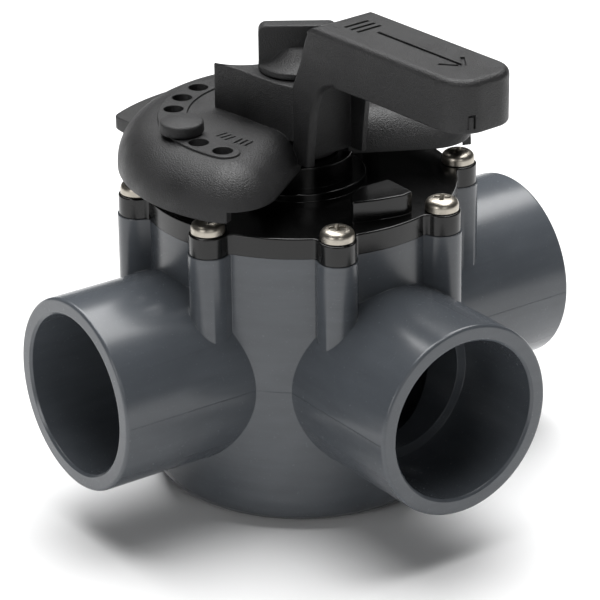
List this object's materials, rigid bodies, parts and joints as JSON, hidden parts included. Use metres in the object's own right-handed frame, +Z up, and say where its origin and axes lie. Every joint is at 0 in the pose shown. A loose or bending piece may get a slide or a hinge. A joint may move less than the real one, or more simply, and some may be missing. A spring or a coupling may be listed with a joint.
{
  "type": "three way diverter valve",
  "caption": "Three way plastic diverter valve with glue sockets, a screwed black cover, an indexed lever handle and a locking knob.",
  "frame": {"origin": "centre of the flat base on the stem axis, where the valve rests", "axes": "+Z up along the stem; -Y out of the branch socket; -X and +X out of the two run sockets; the lever rests 4 degrees from -Y"},
  "size_m": [0.2026, 0.182, 0.187],
  "materials": {
    "grey_pvc": "moulded semi-gloss",
    "gloss_black_plastic": "polished mould gloss",
    "matte_black_plastic": "fine spark-eroded texture",
    "black_nylon": "moulded satin",
    "black_rubber": "moulded satin",
    "white_acetal": "satin",
    "stainless": "bright cold-headed",
    "brass": "turned"
  },
  "bodies": {
    "valve": {"valve_body": "grey_pvc", "lid": "gloss_black_plastic", "lid_o_ring": "black_rubber", "cover_screws": "stainless", "pivot_bush": "white_acetal", "thrust_washer": "white_acetal", "stem_wiper": "black_rubber"},
    "rotor": {"stem": "black_nylon", "stem_o_ring_upper": "black_rubber", "stem_o_ring_lower": "black_rubber", "stem_insert": "brass", "diverter": "black_nylon", "diverter_seal": "black_rubber", "seal_retainer": "black_nylon", "handle": "matte_black_plastic"},
    "knob_lift": {"knob_washer": "stainless"},
    "knob": {"lock_knob": "matte_black_plastic", "knob_screw": "stainless"},
    "stop_left": {"stop_pin_left": "matte_black_plastic"},
    "stop_right": {"stop_pin_right": "matte_black_plastic"}
  },
  "joints": [
    {"name": "handle_turn", "type": "hinge", "parent": "valve", "child": "rotor", "pos_m": [0, 0, 0.11], "axis": [0, 0, 1], "range_deg": [-87, 84]},
    {"name": "knob_rise", "type": "slide", "parent": "rotor", "child": "knob_lift", "axis": [0, 0, 1], "range_m": [0, 0.003]},
    {"name": "knob_turn", "type": "hinge", "parent": "knob_lift", "child": "knob", "pos_m": [0, 0, 0.161], "axis": [0, 0, 1], "range_deg": [0, 720]},
    {"name": "stop_left_pull", "type": "slide", "parent": "rotor", "child": "stop_left", "axis": [0, 0, 1], "range_m": [0, 0.028]},
    {"name": "stop_right_pull", "type": "slide", "parent": "rotor", "child": "stop_right", "axis": [0, 0, 1], "range_m": [0, 0.028]}
  ],
  "couplings": [
    {"joint": "knob_rise", "follows": "knob_turn", "m_per_rad": 0.00019894}
  ]
}
